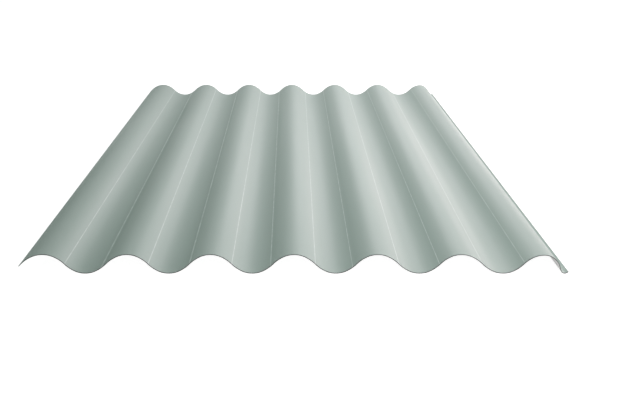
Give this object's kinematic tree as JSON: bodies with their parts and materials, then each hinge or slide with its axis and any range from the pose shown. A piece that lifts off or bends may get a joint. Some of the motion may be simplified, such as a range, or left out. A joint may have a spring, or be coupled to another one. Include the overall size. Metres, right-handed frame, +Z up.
{
  "type": "corrugated metal sheet",
  "caption": "Roll-formed corrugated metal sheet with round waves, an overlap edge on one side and an underlap lip on the other, for roofs and walls.",
  "frame": {"origin": "on the floor under the middle of the sheet, as it lies on its valleys", "axes": "+X across the corrugations from the overlap edge to the underlap edge, +Y along the corrugations, +Z up through the crests"},
  "size_m": [0.9216, 2.4, 0.033],
  "materials": {
    "painted_steel": "satin pale grey-green coil coating"
  },
  "bodies": {
    "root": {"corrugated_sheet": "painted_steel"}
  },
  "joints": []
}
